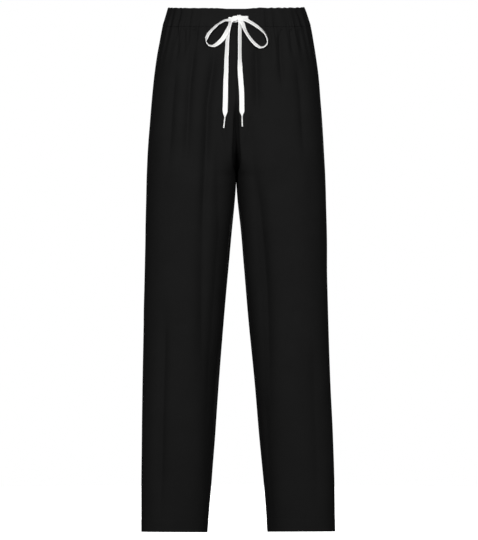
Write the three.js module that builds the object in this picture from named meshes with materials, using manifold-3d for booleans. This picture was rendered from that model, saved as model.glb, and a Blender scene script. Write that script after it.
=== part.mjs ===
// Drawstring pants, filled out as they are when worn, with nobody in them.
// Millimetres, +Z up. +X is the wearer's left and -Y is the front.
// The origin is the middle of the waist, halfway up the waistband.

import Module from 'manifold-3d';
import * as THREE from 'three';
import { mergeVertices } from 'three/addons/utils/BufferGeometryUtils.js';

// Driving dimensions
const BAND_TOP = 18;
const BAND_FOOT = -18;
const BAND_WALL = 2.8;
const BAND_PROUD = 0.4;
const CLOTH_WALL = 1.5;
const SEAM_GAP = 0.3;
const FORK_Z = -317;
const HEM_Z = -1012;
const INSEAM_Y = 4;
const FRONT_DIP = 0.088;
const BACK_RISE = 0.05;
const DIP_FULL_Z = -30;
const DIP_END_Z = -190;
const HEM_SLOPE = 0.07;
const HEM_SLOPE_START_Z = -860;
const LACE_WIDTH = 9.6;
const LOOP_WIDTH = 8;
const LACE_THICK = 1.5;
const TIP_RADIUS = 1.6;
const BUTTONHOLE_HEIGHT = 12;
const BUTTONHOLE_WIDTH = 2.6;
const KNOT_HALF = { x: 9.2, y: 4.4, z: 6.6 };
const KNOT_CLEARANCE = 0.4;

const LEFT = 1;
const RIGHT = -1;
const FRONT = -1;
const BACK = 1;

function table(names, rows) {
  return rows.map((row) => Object.fromEntries(names.map((name, i) => [name, row[i]])));
}

// Half widths from the centre line to the side seams, and below the fork to the inseams
const OUTLINE = table(['z', 'rightOut', 'leftOut', 'rightIn', 'leftIn'], [
  [18, 133.6, 133.6, 0, 0],
  [5, 137.4, 138.9, 0, 0],
  [-18, 143.6, 145.4, 0, 0],
  [-45, 149.0, 150.6, 0, 0],
  [-85, 156.8, 157.0, 0, 0],
  [-125, 162.2, 161.8, 0, 0],
  [-200, 168.9, 168.7, 0, 0],
  [-280, 174.2, 173.4, 0, 0],
  [-317, 176.0, 175.2, 0, 0],
  [-335, 176.4, 175.5, 0.7, 0.7],
  [-360, 176.9, 175.8, 2.6, 2.6],
  [-420, 178.3, 177.2, 8.6, 9.2],
  [-480, 178.9, 178.1, 14.2, 14.5],
  [-600, 181.8, 181.1, 24.8, 24.5],
  [-715, 184.0, 185.1, 33.8, 36.0],
  [-832, 185.5, 190.3, 42.2, 46.0],
  [-950, 186.5, 193.8, 52.1, 57.4],
  [-1012, 186.2, 194.5, 57.0, 62.0],
]);

// Depth before and behind the side seams, where along the half width the crest lies,
// the depth left at the centre seam, and how square the rounding is on each side of the crest
const SHAPE = table(
  ['z', 'front', 'back', 'frontCrest', 'backCrest', 'frontSeam', 'backSeam', 'outerPower', 'innerPower'],
  [
    [18, 82, 88, 0.25, 0.25, 82, 88, 2.3, 2.0],
    [-18, 87, 95, 0.26, 0.27, 87, 95, 2.3, 2.0],
    [-60, 95, 109, 0.29, 0.34, 94.8, 108.5, 2.35, 2.0],
    [-110, 102, 124, 0.35, 0.43, 101.4, 122.5, 2.4, 2.0],
    [-160, 106, 134, 0.42, 0.49, 104.5, 130, 2.45, 2.1],
    [-205, 107.5, 137, 0.47, 0.52, 102.5, 127, 2.5, 2.3],
    [-235, 107.5, 135.5, 0.5, 0.53, 96, 117, 2.5, 2.6],
    [-262, 107, 131, 0.52, 0.53, 82, 95, 2.5, 2.8],
    [-285, 106, 126, 0.53, 0.53, 58, 66, 2.5, 2.9],
    [-303, 105, 122, 0.53, 0.53, 27, 34, 2.5, 2.9],
    [-317, 104, 119, 0.53, 0.53, -INSEAM_Y, INSEAM_Y, 2.5, 2.9],
    [-360, 101.5, 110, 0.53, 0.53, -INSEAM_Y, INSEAM_Y, 2.5, 2.7],
    [-420, 97, 100, 0.52, 0.52, -INSEAM_Y, INSEAM_Y, 2.45, 2.5],
    [-510, 88, 87, 0.51, 0.51, -INSEAM_Y, INSEAM_Y, 2.4, 2.3],
    [-600, 80, 77, 0.5, 0.5, -INSEAM_Y, INSEAM_Y, 2.35, 2.25],
    [-770, 68, 64, 0.5, 0.5, -INSEAM_Y, INSEAM_Y, 2.3, 2.2],
    [-900, 59, 57, 0.5, 0.5, -INSEAM_Y, INSEAM_Y, 2.3, 2.2],
    [-1012, 52, 53, 0.5, 0.5, -INSEAM_Y, INSEAM_Y, 2.3, 2.2],
  ],
);

// Height of the gathers under the elastic, on the band and fading down the cloth
const GATHER_HEIGHT = table(['z', 'height'], [
  [18, 0.5],
  [0, 0.7],
  [-18, 1.1],
  [-34, 1.4],
  [-60, 0.9],
  [-90, 0.35],
  [-125, 0],
]);

// Gathers along a half front or half back: how many, the share of the way where they start, and the
// phase of their unevenness
const GATHERS = {
  [FRONT]: { waves: 7.5, start: 0.24, phase: 0.35 },
  [BACK]: { waves: 9.5, start: 0.05, phase: 1.1 },
};
const UNEVEN_SPACING = 0.018;
const UNEVEN_HEIGHT = 0.3;

// Long soft folds: three places down each one, how deep it is and how wide it is.
// A negative depth is a trough. The x values are distances from the centre line.
const FOLDS = table(
  ['side', 'face', 'topZ', 'topX', 'midZ', 'midX', 'endZ', 'endX', 'depth', 'width'],
  [
    [RIGHT, FRONT, -22, 37, -180, 55, -440, 63, -3.2, 10],
    [RIGHT, FRONT, -30, 81, -130, 91, -320, 99, -2.6, 11],
    [RIGHT, FRONT, -330, 58, -560, 66, -800, 72, -2.8, 17],
    [RIGHT, FRONT, -120, 128, -300, 138, -520, 140, -1.8, 15],
    [LEFT, FRONT, -40, 38, -120, 39, -220, 42, -2.2, 10],
    [LEFT, FRONT, -18, 86, -80, 87, -160, 92, -2.6, 10],
    [LEFT, FRONT, -300, 36, -480, 52, -720, 66, -2.6, 16],
    [LEFT, FRONT, -110, 126, -300, 146, -560, 152, -1.8, 15],
    [RIGHT, BACK, -24, 48, -150, 60, -330, 66, -2.6, 12],
    [RIGHT, BACK, -20, 96, -90, 104, -210, 112, -2.4, 12],
    [RIGHT, BACK, -300, 76, -480, 84, -760, 96, -3.0, 18],
    [LEFT, BACK, -20, 58, -110, 68, -280, 74, -2.6, 12],
    [LEFT, BACK, -28, 104, -110, 112, -230, 118, -2.2, 12],
    [LEFT, BACK, -310, 68, -500, 80, -780, 92, -3.0, 18],
  ],
);

// Levels of the cloth: close columns where it is gathered, wider ones below
const GATHERED_LEVELS = [BAND_FOOT - SEAM_GAP / 2, -29, -42, -58, -77, -98, -122];
const GATHERED_COLUMNS = 36;
const SMOOTH_LEVELS = [
  -150, -180, -205, -228, -250, -270, -288, -303, FORK_Z, -335, -362, -400,
  -450, -510, -580, -660, -740, -820, -900, -970, HEM_Z,
];
const SMOOTH_COLUMNS = 18;
const BAND_COLUMNS = 34;

// The band's section, from its foot up the outside, over the top and down the inside
const BAND_SECTION = table(['z', 'inset'], [
  [BAND_FOOT + SEAM_GAP / 2, 0.3],
  [-14, -BAND_PROUD],
  [0, -BAND_PROUD],
  [14.5, -BAND_PROUD],
  [17.5, 0.3],
  [BAND_TOP, 1.0],
  [17, BAND_WALL - BAND_PROUD],
  [BAND_FOOT + SEAM_GAP / 2, BAND_WALL - BAND_PROUD],
]);

// Routes of the lace as it lies on the front: x and z, how far its middle stands off the cloth,
// and how far it is turned on edge, in degrees
const ROUTE = ['x', 'z', 'lift', 'turn'];
const RIGHT_LOOP = table(ROUTE, [
  [1, -7.6, 6.5, 0],
  [-6.5, -8.6, 6.6, 0],
  [-13.4, -11.2, 6.6, 12],
  [-21.5, -12.4, 6.2, 30],
  [-33.3, -19.2, 5.6, 45],
  [-44.3, -29.0, 5.2, 58],
  [-54.6, -38.2, 5.0, 75],
  [-58.8, -47.0, 4.9, 88],
  [-58.0, -56.0, 4.9, 92],
  [-52.0, -62.2, 4.9, 100],
  [-44.3, -63.2, 4.7, 116],
  [-35.1, -58.0, 4.5, 135],
  [-24.6, -47.3, 4.4, 160],
  [-17.4, -34.5, 4.7, 180],
  [-11.8, -22.6, 4.8, 180],
  [-7.4, -14.2, 4.8, 180],
  [1, -9.0, 4.6, 180],
]);
const LEFT_LOOP = table(ROUTE, [
  [5, -8.0, 6.5, 0],
  [11.5, -10.6, 6.6, 0],
  [18.5, -13.2, 6.6, -12],
  [24.6, -16.4, 6.2, -28],
  [34.5, -22.8, 5.6, -42],
  [47.6, -31.6, 5.2, -58],
  [56.8, -41.5, 5.0, -76],
  [60.4, -51.2, 4.9, -88],
  [58.8, -60.4, 4.9, -94],
  [52.8, -65.6, 4.9, -104],
  [46.8, -66.2, 4.7, -118],
  [38.8, -61.5, 4.5, -136],
  [30.1, -52.5, 4.4, -156],
  [20.9, -39.3, 4.6, -178],
  [15.4, -28.6, 4.8, -180],
  [12.2, -19.4, 4.8, -180],
  [5, -10.0, 4.6, -180],
]);
const RIGHT_TAIL = table(ROUTE, [
  [0, -8.6, 3.0, 0],
  [-6.8, -14.6, 3.1, 0],
  [-12.0, -28.0, 2.5, 0],
  [-15.2, -42.0, 1.5, 0],
  [-17.8, -54.0, 1.1, 0],
  [-19.0, -71.8, 1.1, 0],
  [-20.0, -91.0, 1.1, 0],
  [-20.4, -110.5, 1.1, 0],
  [-21.2, -130.0, 1.1, 0],
  [-21.7, -149.0, 1.1, 0],
  [-21.8, -168.7, 1.1, 0],
  [-22.1, -188.0, 1.2, 0],
  [-21.9, -203.2, 1.5, 0],
]);
const LEFT_TAIL = table(ROUTE, [
  [5, -9.0, 3.0, 0],
  [6.9, -17.0, 3.0, 0],
  [5.8, -32.4, 3.4, -30],
  [6.0, -51.7, 3.7, -42],
  [5.8, -71.8, 3.7, -42],
  [6.0, -90.0, 3.0, -28],
  [6.6, -108.0, 1.5, -4],
  [8.0, -129.9, 1.1, 0],
  [9.2, -149.3, 1.1, 0],
  [9.8, -168.7, 1.1, 0],
  [10.3, -188.0, 1.2, 0],
  [11.7, -201.4, 1.5, 0],
]);
const RIGHT_EXIT = table(ROUTE, [
  [-14.3, -10.0, -2.0, 0],
  [-14.3, -10.0, -0.7, 0],
  [-14.0, -10.0, 0.55, 0],
  [-12.9, -10.0, 1.4, 0],
  [-10.6, -10.0, 1.3, 0],
  [-6.0, -9.6, 1.2, 0],
  [0, -9.2, 1.2, 0],
]);
const LEFT_EXIT = table(ROUTE, [
  [22.7, -9.4, -2.0, 0],
  [22.7, -9.4, -0.7, 0],
  [22.4, -9.4, 0.55, 0],
  [21.3, -9.4, 1.4, 0],
  [19.0, -9.4, 1.3, 0],
  [13.0, -9.2, 1.2, 0],
  [6, -9.0, 1.2, 0],
]);
const KNOT_CENTRE = { x: 3.6, z: -9, lift: 4.7 };
const RIGHT_TIP = { topX: -21.9, topZ: -203.6, endX: -24.2, endZ: -222.6 };
const LEFT_TIP = { topX: 11.8, topZ: -201.8, endX: 12.2, endZ: -220.4 };

// A smooth curve through one column of a table, with no swing past its values
function through(rows, name) {
  const sorted = [...rows].sort((a, b) => a.z - b.z);
  const zs = sorted.map((row) => row.z);
  const values = sorted.map((row) => row[name]);
  const rises = zs.slice(1).map((z, i) => (values[i + 1] - values[i]) / (z - zs[i]));
  const slopes = values.map((value, i) => {
    const before = rises[Math.max(i - 1, 0)];
    const after = rises[Math.min(i, rises.length - 1)];
    return before * after <= 0 ? 0 : (2 * before * after) / (before + after);
  });
  return (z) => {
    const held = Math.min(Math.max(z, zs[0]), zs[zs.length - 1]);
    let i = 0;
    while (i < zs.length - 2 && held > zs[i + 1]) i += 1;
    const span = zs[i + 1] - zs[i];
    const t = (held - zs[i]) / span;
    const rise = values[i + 1] - values[i];
    const bend = span * (slopes[i] * (1 - t) - slopes[i + 1] * t) - rise * (1 - 2 * t);
    return values[i] + rise * t + t * (1 - t) * bend;
  };
}

const outer = { [LEFT]: through(OUTLINE, 'leftOut'), [RIGHT]: through(OUTLINE, 'rightOut') };
const inner = { [LEFT]: through(OUTLINE, 'leftIn'), [RIGHT]: through(OUTLINE, 'rightIn') };
const depth = { [FRONT]: through(SHAPE, 'front'), [BACK]: through(SHAPE, 'back') };
const crestPart = { [FRONT]: through(SHAPE, 'frontCrest'), [BACK]: through(SHAPE, 'backCrest') };
const seamDepth = { [FRONT]: through(SHAPE, 'frontSeam'), [BACK]: through(SHAPE, 'backSeam') };
const outerPower = through(SHAPE, 'outerPower');
const innerPower = through(SHAPE, 'innerPower');
const gatherHeight = through(GATHER_HEIGHT, 'height');

const smooth = (from, to, value) => THREE.MathUtils.smoothstep(value, from, to);

// The waist dips in front and rises behind, and the hem is a little higher in front
function lean(z, y) {
  const waist = smooth(DIP_END_Z, DIP_FULL_Z, z) * (y < 0 ? FRONT_DIP : BACK_RISE);
  const hem = (1 - smooth(HEM_Z, HEM_SLOPE_START_Z, z)) * HEM_SLOPE;
  return z + (waist - hem) * y;
}

// The wavy gathers, at a share of the way from the centre seam to the side seam
function gatherAt(face, share, z) {
  const { waves, start, phase } = GATHERS[face];
  const along = (share - start) / (1 - start);
  if (along <= 0) return 0;
  const uneven = along + UNEVEN_SPACING * Math.sin(9 * along + phase);
  const size = 1 - UNEVEN_HEIGHT + UNEVEN_HEIGHT * Math.sin(13 * along + 2 * phase);
  const ends = smooth(0, 0.14, along) * (1 - smooth(0.93, 1, along));
  return gatherHeight(z) * size * ends * Math.sin(2 * Math.PI * waves * uneven);
}

// The sum of the long folds at a point of one panel
function foldAt(side, face, x, z) {
  let sum = 0;
  for (const fold of FOLDS) {
    if (fold.side !== side || fold.face !== face || z > fold.topZ || z < fold.endZ) continue;
    const down = (fold.topZ - z) / (fold.topZ - fold.endZ);
    const bend = (fold.topZ - fold.midZ) / (fold.topZ - fold.endZ);
    const viaMid = fold.topX + (fold.midX - fold.topX) * Math.min(down / bend, 1);
    const pastMid = (fold.endX - fold.midX) * Math.max((down - bend) / (1 - bend), 0);
    const off = (x - viaMid - pastMid) / fold.width;
    sum += fold.depth * Math.exp(-off * off) * smooth(0, 0.2, down) * (1 - smooth(0.55, 1, down));
  }
  return sum;
}

// One half section of the cloth at a level, from the centre seam or inseam round to the side seam,
// as points a given share of the way along, each with its outward direction
function section(side, face, z, gap) {
  const quarter = 40;
  const from = inner[side](z) + gap;
  const to = outer[side](z);
  const crestDepth = depth[face](z);
  const low = seamDepth[face](z);
  const crest = from + crestPart[face](z) * (to - from);
  const inPower = 2 / innerPower(z);
  const outPower = 2 / outerPower(z);
  const line = [];
  for (let i = 0; i <= 2 * quarter; i += 1) {
    const angle = (Math.PI / 2) * (i <= quarter ? i / quarter : i / quarter - 1);
    const s = Math.max(Math.sin(angle), 0);
    const c = Math.max(Math.cos(angle), 0);
    line.push(i <= quarter
      ? new THREE.Vector2(crest - (crest - from) * c ** inPower, low + (crestDepth - low) * s ** inPower)
      : new THREE.Vector2(crest + (to - crest) * s ** outPower, crestDepth * c ** outPower));
  }
  const lengths = [0];
  for (let i = 1; i < line.length; i += 1) lengths.push(lengths[i - 1] + line[i].distanceTo(line[i - 1]));
  const whole = lengths[lengths.length - 1];
  const at = (distance) => {
    const held = Math.min(Math.max(distance, 0), whole);
    let i = 0;
    while (i < lengths.length - 2 && held > lengths[i + 1]) i += 1;
    const t = (held - lengths[i]) / Math.max(lengths[i + 1] - lengths[i], 1e-9);
    return line[i].clone().lerp(line[i + 1], t);
  };
  const reach = 2;
  return (share) => {
    const distance = gap + share * (whole - 2 * gap);
    const point = at(distance);
    const way = at(distance + reach).sub(at(distance - reach)).normalize();
    return { x: point.x, depth: point.y, outX: -way.y, outDepth: way.x };
  };
}

// A point on a panel or the band, set in from the outer face by a given inset
function clothPoint(side, face, z, share, place, inset) {
  const { x, depth: far, outX, outDepth } = place(share);
  const ends = smooth(0, 0.06, share) * (1 - smooth(0.94, 1, share));
  const raised = gatherAt(face, share, z) + foldAt(side, face, x, z) * ends - inset;
  const y = face * (far + outDepth * raised);
  return new THREE.Vector3(side * (x + outX * raised), y, lean(z, y));
}

// Triangles between two rows of point numbers, which may differ in count: the row that is behind
// moves on, and where neither is, the shorter way across is taken
function stitch(points, faces, rowA, rowB) {
  let i = 0;
  let j = 0;
  while (i < rowA.length - 1 || j < rowB.length - 1) {
    const nextA = i < rowA.length - 1 ? (i + 1) / (rowA.length - 1) : Infinity;
    const nextB = j < rowB.length - 1 ? (j + 1) / (rowB.length - 1) : Infinity;
    let moveA = nextA < nextB;
    if (nextA === nextB) {
      const acrossA = points[rowA[i + 1]].distanceTo(points[rowB[j]]);
      const acrossB = points[rowA[i]].distanceTo(points[rowB[j + 1]]);
      moveA = acrossA <= acrossB;
    }
    if (moveA) {
      faces.push(rowA[i], rowB[j], rowA[i + 1]);
      i += 1;
    } else {
      faces.push(rowA[i], rowB[j], rowB[j + 1]);
      j += 1;
    }
  }
}

// A closed body from points and triangles, with its faces turned outwards
function closedBody(points, faces) {
  let volume = 0;
  for (let i = 0; i < faces.length; i += 3) {
    const [a, b, c] = [points[faces[i]], points[faces[i + 1]], points[faces[i + 2]]];
    volume += a.dot(b.clone().cross(c));
  }
  const turned = volume < 0 ? faces.map((_, i) => faces[i + [0, 1, -1][i % 3]]) : faces;
  const geometry = new THREE.BufferGeometry().setFromPoints(points);
  geometry.setIndex(turned);
  geometry.computeVertexNormals();
  return geometry;
}

// One panel: a wall of cloth from the waist seam to the hem
function panelGeometry(side, face) {
  const levels = [
    ...GATHERED_LEVELS.map((z) => ({ z, columns: GATHERED_COLUMNS })),
    ...SMOOTH_LEVELS.map((z) => ({ z, columns: SMOOTH_COLUMNS })),
  ];
  const points = [];
  const outside = [];
  const inside = [];
  for (const { z, columns } of levels) {
    const place = section(side, face, z, SEAM_GAP / 2);
    for (const [rows, inset] of [[outside, 0], [inside, CLOTH_WALL]]) {
      const row = [];
      for (let i = 0; i <= columns; i += 1) {
        row.push(points.length);
        points.push(clothPoint(side, face, z, i / columns, place, inset));
      }
      rows.push(row);
    }
  }
  const faces = [];
  const flipped = (row) => [...row].reverse();
  for (let i = 0; i < levels.length - 1; i += 1) {
    stitch(points, faces, outside[i], outside[i + 1]);
    stitch(points, faces, flipped(inside[i]), flipped(inside[i + 1]));
  }
  const last = levels.length - 1;
  stitch(points, faces, inside[0], outside[0]);
  stitch(points, faces, outside[last], inside[last]);
  const edge = (rows, i) => rows.map((row) => row.at(i));
  stitch(points, faces, flipped(edge(inside, 0)), flipped(edge(outside, 0)));
  stitch(points, faces, edge(inside, -1), edge(outside, -1));
  return closedBody(points, faces);
}

// The waistband: one ring of four quarters round the waist
function bandGeometry() {
  const points = [];
  const rows = BAND_SECTION.map(({ z, inset }) => {
    const ring = [];
    for (const [side, face, outward] of [
      [LEFT, FRONT, true], [LEFT, BACK, false], [RIGHT, BACK, true], [RIGHT, FRONT, false],
    ]) {
      const place = section(side, face, z, 0);
      for (let i = 0; i < BAND_COLUMNS; i += 1) {
        const share = outward ? i / BAND_COLUMNS : 1 - i / BAND_COLUMNS;
        ring.push(points.length);
        points.push(clothPoint(side, face, z, share, place, inset));
      }
    }
    return [...ring, ring[0]];
  });
  const faces = [];
  rows.forEach((row, i) => stitch(points, faces, row, rows[(i + 1) % rows.length]));
  return closedBody(points, faces);
}

const wasm = await Module();
wasm.setup();

function toSolid(geometry) {
  const bare = geometry.clone();
  bare.deleteAttribute('normal');
  bare.deleteAttribute('uv');
  const merged = mergeVertices(bare, 1e-4);
  return new wasm.Manifold(new wasm.Mesh({
    numProp: 3,
    vertProperties: merged.attributes.position.array,
    triVerts: Uint32Array.from(merged.index.array),
  }));
}

function fromSolid(solid) {
  const mesh = solid.getMesh();
  const geometry = new THREE.BufferGeometry();
  geometry.setAttribute('position', new THREE.BufferAttribute(mesh.vertProperties, 3));
  geometry.setIndex(new THREE.BufferAttribute(mesh.triVerts, 1));
  geometry.computeVertexNormals();
  return geometry;
}

// How far forward the outer face lies at a place on the front, level z being the leaned one
function frontFaceY(x, z) {
  const side = x < 0 ? RIGHT : LEFT;
  const off = Math.abs(x);
  let level = z;
  let y = 0;
  for (let pass = 0; pass < 4; pass += 1) {
    const crest = crestPart[FRONT](level) * outer[side](level);
    const low = seamDepth[FRONT](level);
    const power = innerPower(level);
    const inward = 1 - Math.min(off / crest, 1);
    const rise = (1 - inward ** power) ** (1 / power);
    const outward = Math.max(off - crest, 0) / (outer[side](level) - crest);
    const roll = (1 - outward ** outerPower(level)) ** (1 / outerPower(level));
    const far = (low + (depth[FRONT](level) - low) * rise) * roll;
    const onBand = smooth(BAND_FOOT - 2, BAND_FOOT + 2, level) * BAND_PROUD;
    y = -(far + foldAt(side, FRONT, off, level) + onBand);
    level += z - lean(level, y);
  }
  return y;
}

// Which way the front faces at a place, from its slopes across and down
function frontFacing({ x, z }) {
  const across = frontFaceY(x + 1, z) - frontFaceY(x - 1, z);
  const down = frontFaceY(x, z + 2) - frontFaceY(x, z - 2);
  return new THREE.Vector3(across / 2, -1, down / 4).normalize();
}

// A flat lace along a route: it faces as the cloth does, or stands upright where it leaves its
// buttonhole
class LaceCurve extends THREE.CatmullRomCurve3 {
  constructor(route, upright) {
    super(
      route.map(({ x, z, lift }) => new THREE.Vector3(x, frontFaceY(x, z) - lift, z)),
      false,
      'centripetal',
    );
    this.turns = route.map((row) => THREE.MathUtils.degToRad(row.turn));
    this.upright = upright;
  }

  computeFrenetFrames(segments) {
    const frames = { tangents: [], normals: [], binormals: [] };
    for (let i = 0; i <= segments; i += 1) {
      const share = i / segments;
      const tangent = this.getTangentAt(share);
      const place = this.getUtoTmapping(share) * (this.turns.length - 1);
      const row = Math.min(Math.floor(place), this.turns.length - 2);
      const turn = THREE.MathUtils.lerp(this.turns[row], this.turns[row + 1], place - row);
      const normal = frontFacing(this.getPointAt(share));
      if (this.upright) normal.set(0, normal.z, -normal.y).cross(tangent);
      normal.addScaledVector(tangent, -normal.dot(tangent)).normalize();
      normal.applyAxisAngle(tangent, turn);
      frames.tangents.push(tangent);
      frames.normals.push(normal);
      frames.binormals.push(tangent.clone().cross(normal));
    }
    return frames;
  }
}

function laceSection(width) {
  const thick = LACE_THICK / 2;
  const half = width / 2;
  const corner = thick * 1.3;
  return new THREE.Shape([
    new THREE.Vector2(thick, half - corner),
    new THREE.Vector2(thick / 2, half),
    new THREE.Vector2(-thick / 2, half),
    new THREE.Vector2(-thick, half - corner),
    new THREE.Vector2(-thick, corner - half),
    new THREE.Vector2(-thick / 2, -half),
    new THREE.Vector2(thick / 2, -half),
    new THREE.Vector2(thick, corner - half),
  ]);
}

function laceGeometry(route, width, steps, upright = false) {
  const extrudePath = new LaceCurve(route, upright);
  return new THREE.ExtrudeGeometry(laceSection(width), { steps, extrudePath, bevelEnabled: false });
}

// The knot is a plain rounded body, and the lace is trimmed clear of it
function knotGeometry(growth) {
  const knot = new THREE.SphereGeometry(1, 18, 12);
  knot.scale(KNOT_HALF.x + growth, KNOT_HALF.y + growth, KNOT_HALF.z + growth);
  const y = frontFaceY(KNOT_CENTRE.x, KNOT_CENTRE.z) - KNOT_CENTRE.lift;
  knot.translate(KNOT_CENTRE.x, y, KNOT_CENTRE.z);
  return knot;
}

const knotRoom = toSolid(knotGeometry(KNOT_CLEARANCE));

function trimmedLace(route, width, steps, upright) {
  return fromSolid(toSolid(laceGeometry(route, width, steps, upright)).subtract(knotRoom));
}

function buttonhole(exit) {
  const half = BUTTONHOLE_WIDTH / 2;
  const straight = BUTTONHOLE_HEIGHT / 2 - half;
  const outline = new THREE.Shape();
  outline.absarc(0, straight, half, 0, Math.PI);
  outline.absarc(0, -straight, half, Math.PI, 2 * Math.PI);
  const length = 16;
  const cut = new THREE.ExtrudeGeometry(outline, { depth: length, bevelEnabled: false, curveSegments: 5 });
  cut.rotateX(Math.PI / 2);
  cut.translate(exit.x, frontFaceY(exit.x, exit.z) + length / 2, exit.z);
  return toSolid(cut);
}

function cutBandGeometry() {
  let band = toSolid(bandGeometry());
  for (const route of [RIGHT_EXIT, LEFT_EXIT]) band = band.subtract(buttonhole(route[0]));
  return fromSolid(band);
}

// A hard lace tip, laid on the front from the end of its tail
function tipGeometry({ topX, topZ, endX, endZ }) {
  const lift = TIP_RADIUS + SEAM_GAP;
  const top = new THREE.Vector3(topX, frontFaceY(topX, topZ) - lift, topZ);
  const end = new THREE.Vector3(endX, frontFaceY(endX, endZ) - lift, endZ);
  const length = top.distanceTo(end);
  const bevel = TIP_RADIUS * 0.35;
  const profile = [
    new THREE.Vector2(0, 0),
    new THREE.Vector2(TIP_RADIUS - bevel, 0),
    new THREE.Vector2(TIP_RADIUS, bevel),
    new THREE.Vector2(TIP_RADIUS, length - bevel),
    new THREE.Vector2(TIP_RADIUS - bevel, length),
    new THREE.Vector2(0, length),
  ];
  const tip = new THREE.LatheGeometry(profile, 12);
  const turn = new THREE.Quaternion().setFromUnitVectors(
    new THREE.Vector3(0, 1, 0),
    end.clone().sub(top).normalize(),
  );
  tip.applyQuaternion(turn);
  tip.translate(top.x, top.y, top.z);
  return tip;
}

const blackCloth = () => new THREE.MeshStandardMaterial({ color: 0x1a1a1b, roughness: 0.92, metalness: 0 });
const whiteLace = () => new THREE.MeshStandardMaterial({ color: 0xf4f3ef, roughness: 0.85, metalness: 0 });
const whiteTip = () => new THREE.MeshStandardMaterial({ color: 0xf2f1ed, roughness: 0.35, metalness: 0 });

const pants = new THREE.Group();

function add(name, geometry, material) {
  const mesh = new THREE.Mesh(geometry, material);
  mesh.name = name;
  pants.add(mesh);
}

add('front_panel_left', panelGeometry(LEFT, FRONT), blackCloth());
add('front_panel_right', panelGeometry(RIGHT, FRONT), blackCloth());
add('back_panel_left', panelGeometry(LEFT, BACK), blackCloth());
add('back_panel_right', panelGeometry(RIGHT, BACK), blackCloth());
add('waistband', cutBandGeometry(), blackCloth());
add('drawstring_exit_left', trimmedLace(LEFT_EXIT, LACE_WIDTH, 12, true), whiteLace());
add('drawstring_exit_right', trimmedLace(RIGHT_EXIT, LACE_WIDTH, 10, true), whiteLace());
add('drawstring_knot', knotGeometry(0), whiteLace());
add('drawstring_loop_left', trimmedLace(LEFT_LOOP, LOOP_WIDTH, 18), whiteLace());
add('drawstring_loop_right', trimmedLace(RIGHT_LOOP, LOOP_WIDTH, 18), whiteLace());
add('drawstring_tail_left', trimmedLace(LEFT_TAIL, LACE_WIDTH, 15), whiteLace());
add('drawstring_tail_right', trimmedLace(RIGHT_TAIL, LACE_WIDTH, 15), whiteLace());
add('drawstring_tip_left', tipGeometry(LEFT_TIP), whiteTip());
add('drawstring_tip_right', tipGeometry(RIGHT_TIP), whiteTip());

export default pants;
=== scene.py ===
"""Drawstring pants, filled out as worn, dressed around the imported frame.

Metres, +Z up, with the folds, creases and lace routes in millimetres. +X is the wearer's left and -Y
is the front. The shape tables repeat the frame's own, so that cloth and lace lie where their solids do.
"""

import math

import bpy
import numpy as np
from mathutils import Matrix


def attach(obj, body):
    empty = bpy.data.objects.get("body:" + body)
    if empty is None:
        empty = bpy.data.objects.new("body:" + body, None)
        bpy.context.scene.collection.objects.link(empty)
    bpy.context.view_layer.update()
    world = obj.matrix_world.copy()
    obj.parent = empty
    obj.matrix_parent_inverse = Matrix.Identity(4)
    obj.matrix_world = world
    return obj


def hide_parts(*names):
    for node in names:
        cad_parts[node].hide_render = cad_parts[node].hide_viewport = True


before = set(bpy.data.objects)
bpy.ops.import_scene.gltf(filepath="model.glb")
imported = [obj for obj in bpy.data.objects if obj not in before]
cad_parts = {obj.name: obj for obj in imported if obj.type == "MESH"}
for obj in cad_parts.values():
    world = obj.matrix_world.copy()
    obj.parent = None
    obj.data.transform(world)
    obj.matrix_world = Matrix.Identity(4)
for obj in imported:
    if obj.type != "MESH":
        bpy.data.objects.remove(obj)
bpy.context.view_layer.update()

# Driving dimensions, as in the frame
BAND_TOP = 0.018
BAND_FOOT = -0.018
BAND_WALL = 0.0028
BAND_PROUD = 0.0004
FORK_Z = -0.317
HEM_Z = -1.012
INSEAM_Y = 0.004
FRONT_DIP = 0.088
BACK_RISE = 0.05
DIP_FULL_Z = -0.030
DIP_END_Z = -0.190
HEM_SLOPE = 0.07
HEM_SLOPE_START_Z = -0.860
LACE_WIDTH = 0.0096
LACE_THICK = 0.0018
BUTTONHOLE_HEIGHT = 0.012
BUTTONHOLE_WIDTH = 0.0026

# What the cloth shell adds
CLOTH_THICK = 0.0011
HEM_TURN_UP = 0.025
WAIST_ALLOWANCE = 0.006

LEFT, RIGHT = 1, -1
FRONT, BACK = -1, 1


def table(names, rows):
    """A table as a dict of columns."""
    return {name: np.array([row[i] for row in rows], dtype=float) for i, name in enumerate(names)}


def in_metres(tables):
    """Tables of rows in millimetres, each turned to an array in metres."""
    return {key: np.array(rows) / 1000 for key, rows in tables.items()}


# Half widths from the centre line to the side seams, and below the fork to the inseams
OUTLINE = table(("z", "right_out", "left_out", "right_in", "left_in"), [
    (0.018, 0.1336, 0.1336, 0, 0),
    (0.005, 0.1374, 0.1389, 0, 0),
    (-0.018, 0.1436, 0.1454, 0, 0),
    (-0.045, 0.149, 0.1506, 0, 0),
    (-0.085, 0.1568, 0.157, 0, 0),
    (-0.125, 0.1622, 0.1618, 0, 0),
    (-0.2, 0.1689, 0.1687, 0, 0),
    (-0.28, 0.1742, 0.1734, 0, 0),
    (-0.317, 0.176, 0.1752, 0, 0),
    (-0.335, 0.1764, 0.1755, 0.0007, 0.0007),
    (-0.36, 0.1769, 0.1758, 0.0026, 0.0026),
    (-0.42, 0.1783, 0.1772, 0.0086, 0.0092),
    (-0.48, 0.1789, 0.1781, 0.0142, 0.0145),
    (-0.6, 0.1818, 0.1811, 0.0248, 0.0245),
    (-0.715, 0.184, 0.1851, 0.0338, 0.036),
    (-0.832, 0.1855, 0.1903, 0.0422, 0.046),
    (-0.95, 0.1865, 0.1938, 0.0521, 0.0574),
    (-1.012, 0.1862, 0.1945, 0.057, 0.062),
])

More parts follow.
